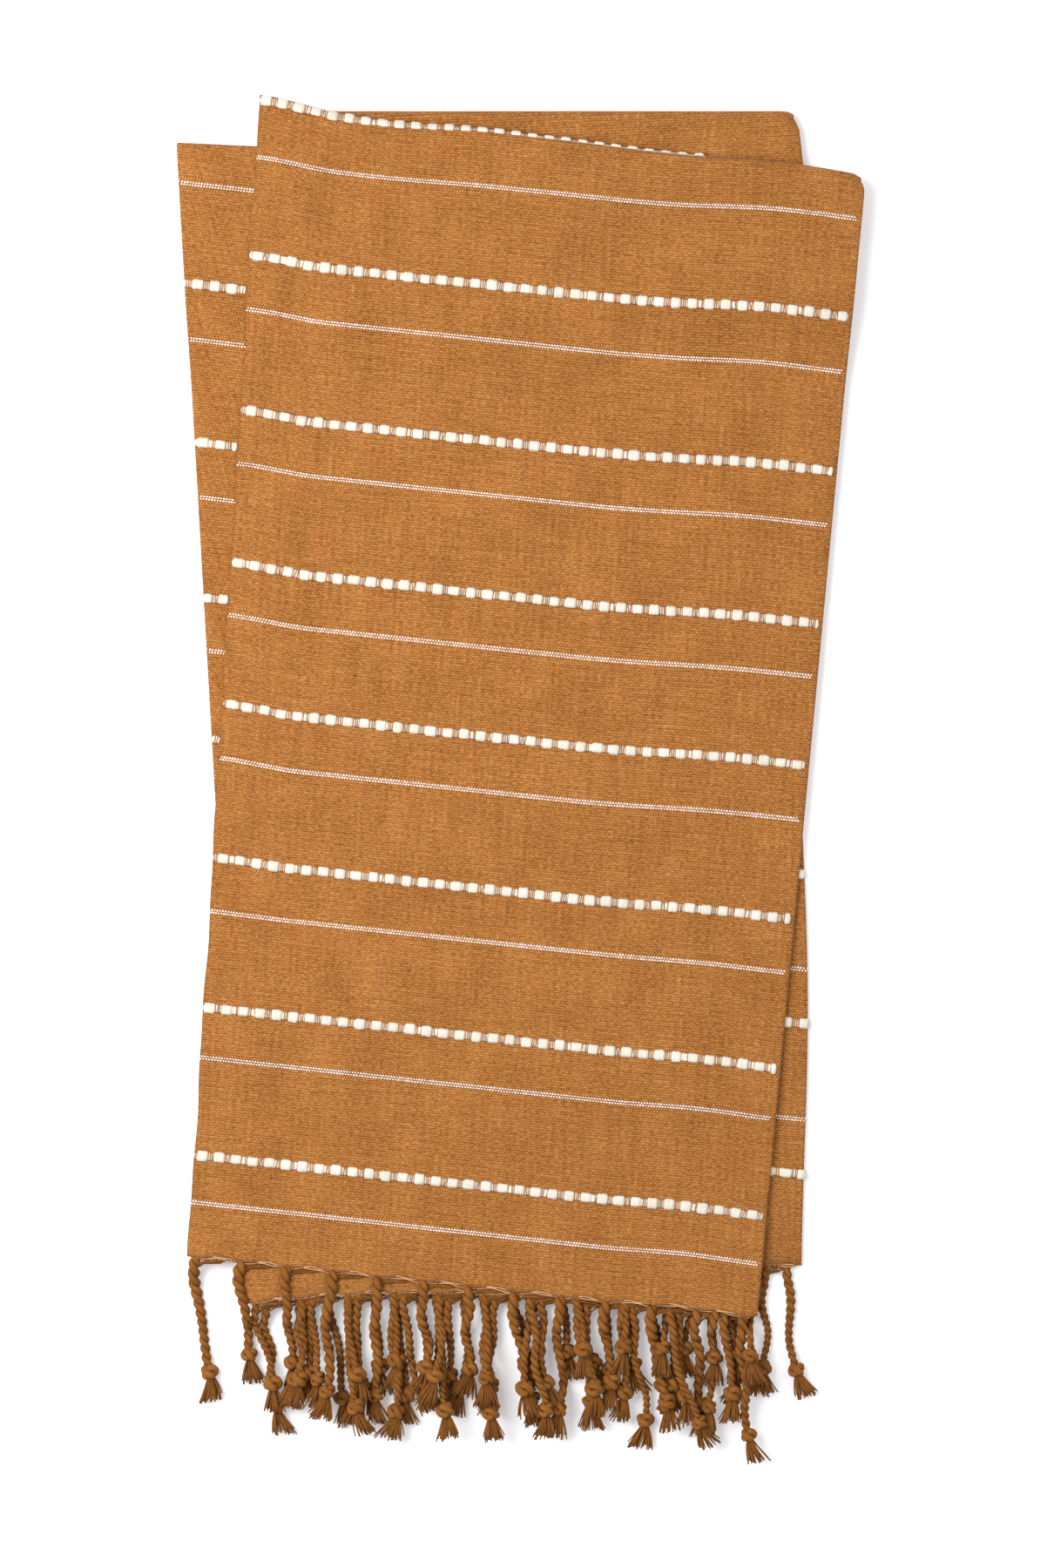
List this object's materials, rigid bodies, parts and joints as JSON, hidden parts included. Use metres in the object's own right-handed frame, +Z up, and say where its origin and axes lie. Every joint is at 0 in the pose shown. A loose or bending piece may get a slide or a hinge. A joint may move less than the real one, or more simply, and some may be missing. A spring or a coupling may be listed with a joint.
{
  "type": "folded fringed throw blanket",
  "caption": "Woven cotton throw folded in thirds and once across, with ivory bobble stripes, dotted picks and knotted tassel fringe at both ends.",
  "frame": {"origin": "middle of the folded throw's footprint, on the surface that it lies on", "axes": "+X across the folded throw, +Y along it towards the top fold, away from the fringe, +Z up"},
  "size_m": [0.4718, 0.9382, 0.0267],
  "materials": {
    "ochre_weave": "matte ribbed plain weave in ochre cotton with fine mottling and twin dotted ivory picks",
    "ivory_bobble_yarn": "soft matte ivory cotton yarn, loosely spun, floated into puffs",
    "peach_stitch_thread": "light peach cotton thread with a slight sheen",
    "twisted_tassel_cord": "matte twisted cotton cord, darker than the cloth, with frayed ends"
  },
  "bodies": {
    "root": {"bobble_weft_row_1": "ivory_bobble_yarn", "bobble_weft_row_2": "ivory_bobble_yarn", "bobble_weft_row_3": "ivory_bobble_yarn", "bobble_weft_row_4": "ivory_bobble_yarn", "bobble_weft_row_5": "ivory_bobble_yarn", "bobble_weft_row_6": "ivory_bobble_yarn", "bobble_weft_row_7": "ivory_bobble_yarn", "hem_stitch_lower_end": "peach_stitch_thread", "hem_stitch_upper_end": "peach_stitch_thread", "tassel_lower_centre_01": "twisted_tassel_cord", "tassel_lower_centre_02": "twisted_tassel_cord", "tassel_lower_centre_03": "twisted_tassel_cord", "tassel_lower_centre_04": "twisted_tassel_cord", "tassel_lower_centre_05": "twisted_tassel_cord", "tassel_lower_centre_06": "twisted_tassel_cord", "tassel_lower_centre_07": "twisted_tassel_cord", "tassel_lower_centre_08": "twisted_tassel_cord", "tassel_lower_centre_09": "twisted_tassel_cord", "tassel_lower_centre_10": "twisted_tassel_cord", "tassel_lower_centre_11": "twisted_tassel_cord", "tassel_lower_outer_01": "twisted_tassel_cord", "tassel_lower_outer_02": "twisted_tassel_cord", "tassel_lower_outer_03": "twisted_tassel_cord", "tassel_lower_outer_04": "twisted_tassel_cord", "tassel_lower_outer_05": "twisted_tassel_cord", "tassel_lower_outer_06": "twisted_tassel_cord", "tassel_lower_outer_07": "twisted_tassel_cord", "tassel_lower_outer_08": "twisted_tassel_cord", "tassel_lower_outer_09": "twisted_tassel_cord", "tassel_lower_outer_10": "twisted_tassel_cord", "tassel_lower_outer_11": "twisted_tassel_cord", "tassel_upper_centre_01": "twisted_tassel_cord", "tassel_upper_centre_02": "twisted_tassel_cord", "tassel_upper_centre_03": "twisted_tassel_cord", "tassel_upper_centre_04": "twisted_tassel_cord", "tassel_upper_centre_05": "twisted_tassel_cord", "tassel_upper_centre_06": "twisted_tassel_cord", "tassel_upper_centre_07": "twisted_tassel_cord", "tassel_upper_centre_08": "twisted_tassel_cord", "tassel_upper_centre_09": "twisted_tassel_cord", "tassel_upper_centre_10": "twisted_tassel_cord", "tassel_upper_centre_11": "twisted_tassel_cord", "tassel_upper_outer_01": "twisted_tassel_cord", "tassel_upper_outer_02": "twisted_tassel_cord", "tassel_upper_outer_03": "twisted_tassel_cord", "tassel_upper_outer_04": "twisted_tassel_cord", "tassel_upper_outer_05": "twisted_tassel_cord", "tassel_upper_outer_06": "twisted_tassel_cord", "tassel_upper_outer_07": "twisted_tassel_cord", "tassel_upper_outer_08": "twisted_tassel_cord", "tassel_upper_outer_09": "twisted_tassel_cord", "tassel_upper_outer_10": "twisted_tassel_cord", "tassel_upper_outer_11": "twisted_tassel_cord", "tassel_upper_outer_12": "twisted_tassel_cord", "tassel_upper_outer_13": "twisted_tassel_cord", "woven_cloth": "ochre_weave"}
  },
  "joints": []
}
